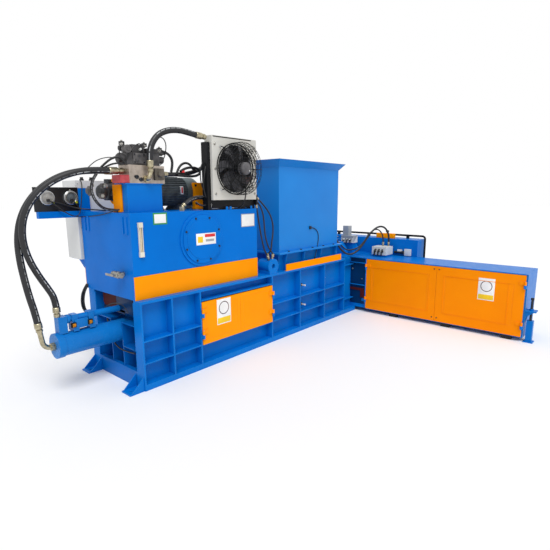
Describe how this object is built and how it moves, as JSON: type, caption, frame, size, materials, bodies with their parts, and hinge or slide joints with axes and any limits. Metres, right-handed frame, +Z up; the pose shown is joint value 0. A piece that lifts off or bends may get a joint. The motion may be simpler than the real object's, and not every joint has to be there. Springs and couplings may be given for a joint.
{
  "type": "recycling baler",
  "caption": "Horizontal hydraulic waste baler: a hopper feeds a press channel, a main ram packs the charge and a side pusher ejects the bale.",
  "frame": {"origin": "centre of the four floor anchor holes, on the floor", "axes": "+X along the press channel from the main cylinder to the end wall, +Y away from the side-push box towards the bale outlet, +Z up"},
  "size_m": [5.6755, 3.841, 2.4786],
  "materials": {
    "blue_paint": "semi-gloss",
    "orange_paint": "semi-gloss",
    "door_orange_paint": "semi-gloss",
    "grey_paint": "satin",
    "black_paint": "satin",
    "primer": "matt",
    "machined_steel": "machined",
    "motor_grey": "satin",
    "plated_rod": "polished",
    "plated_fittings": "zinc plated",
    "hose_rubber": "matt",
    "pad_rubber": "matt",
    "brass": "machined",
    "box_plastic": "fine texture",
    "gauge_metal": "polished",
    "sight_glass": "gloss",
    "fan_plastic": "gloss"
  },
  "bodies": {
    "frame": {"anchor_feet": "blue_paint", "bell_housings": "orange_paint", "cabinet": "grey_paint", "chamber_roof": "blue_paint", "cooler_stand": "black_paint", "cover_bolts": "machined_steel", "cylinder_pipe": "blue_paint", "distributor": "blue_paint", "door_hinges": "blue_paint", "drain_valve": "brass", "ejector_frame": "blue_paint", "ejector_roof": "blue_paint", "electric_motors": "motor_grey", "end_wall": "blue_paint", "fan_guard": "black_paint", "far_side_wall": "blue_paint", "floor_frame": "blue_paint", "floor_pads": "pad_rubber", "gauge_panel": "black_paint", "hopper": "blue_paint", "hopper_curb": "blue_paint", "hose_cap_side": "hose_rubber", "hose_cooler_in": "hose_rubber", "hose_cooler_out": "hose_rubber", "hose_far_loop": "hose_rubber", "hose_fittings": "plated_fittings", "hose_main_return": "hose_rubber", "hose_rod_side": "hose_rubber", "junction_boxes": "box_plastic", "level_gauge": "sight_glass", "main_cylinder": "blue_paint", "manhole_cover": "blue_paint", "manifold_block": "machined_steel", "manifold_stand": "blue_paint", "near_side_wall": "blue_paint", "oil_cooler": "grey_paint", "oil_tank": "blue_paint", "orange_trim": "orange_paint", "pipe_clamps": "blue_paint", "pressure_gauges": "gauge_metal", "primer_cross_member": "primer", "pumps": "black_paint", "rear_end_frame": "blue_paint", "side_cylinder": "black_paint", "top_deck": "blue_paint", "valve_stack": "black_paint", "wall_pipe": "black_paint"},
    "main_ram": {"ram_head": "blue_paint", "main_rod": "plated_rod"},
    "side_ram": {"side_pusher": "blue_paint", "side_rod": "plated_rod"},
    "outlet": {"outlet_door": "blue_paint"},
    "inner_door": {"inner_box_door": "door_orange_paint"},
    "outer_door": {"outer_box_door": "door_orange_paint"},
    "left_leaf": {"left_access_leaf": "orange_paint"},
    "right_leaf": {"right_access_leaf": "orange_paint"},
    "switch_cabinet_door": {"cabinet_door": "grey_paint"},
    "fan": {"fan_wheel": "fan_plastic"},
    "leg": {"levelling_leg": "blue_paint"},
    "drain_handle": {"drain_lever": "machined_steel"}
  },
  "joints": [
    {"name": "ram_slide", "type": "slide", "parent": "frame", "child": "main_ram", "axis": [1, 0, 0], "range_m": [0, 1.78]},
    {"name": "ejector_slide", "type": "slide", "parent": "frame", "child": "side_ram", "axis": [0, 1, 0], "range_m": [0, 0.86]},
    {"name": "outlet_door_hinge", "type": "hinge", "parent": "frame", "child": "outlet", "pos_m": [2.088, 0.52, 0.46], "axis": [0, 0, -1], "range_deg": [0, 110]},
    {"name": "inner_box_door_hinge", "type": "hinge", "parent": "frame", "child": "inner_door", "pos_m": [1.457, -0.685, 0.45], "axis": [0, 0, -1], "range_deg": [0, 90]},
    {"name": "outer_box_door_hinge", "type": "hinge", "parent": "frame", "child": "outer_door", "pos_m": [1.457, -2.859, 0.45], "axis": [0, 0, 1], "range_deg": [0, 110]},
    {"name": "left_leaf_hinge", "type": "hinge", "parent": "frame", "child": "left_leaf", "pos_m": [-1.63, -0.514, 0.5], "axis": [0, 0, -1], "range_deg": [0, 100]},
    {"name": "right_leaf_hinge", "type": "hinge", "parent": "frame", "child": "right_leaf", "pos_m": [-0.522, -0.514, 0.5], "axis": [0, 0, 1], "range_deg": [0, 100]},
    {"name": "cabinet_door_hinge", "type": "hinge", "parent": "frame", "child": "switch_cabinet_door", "pos_m": [-1.754, 0.82, 1.576], "axis": [0, 0, -1], "range_deg": [0, 110]},
    {"name": "fan_spin", "type": "hinge", "parent": "frame", "child": "fan", "pos_m": [-1.0245, -0.43, 2.1055], "axis": [0, 1, 0], "continuous": true},
    {"name": "leg_slide", "type": "slide", "parent": "frame", "child": "leg", "axis": [0, 0, 1], "range_m": [0, 0.11]},
    {"name": "drain_lever_turn", "type": "hinge", "parent": "frame", "child": "drain_handle", "pos_m": [-2.459, -0.254, 1.11], "axis": [1, 0, 0], "range_deg": [0, 90]}
  ]
}
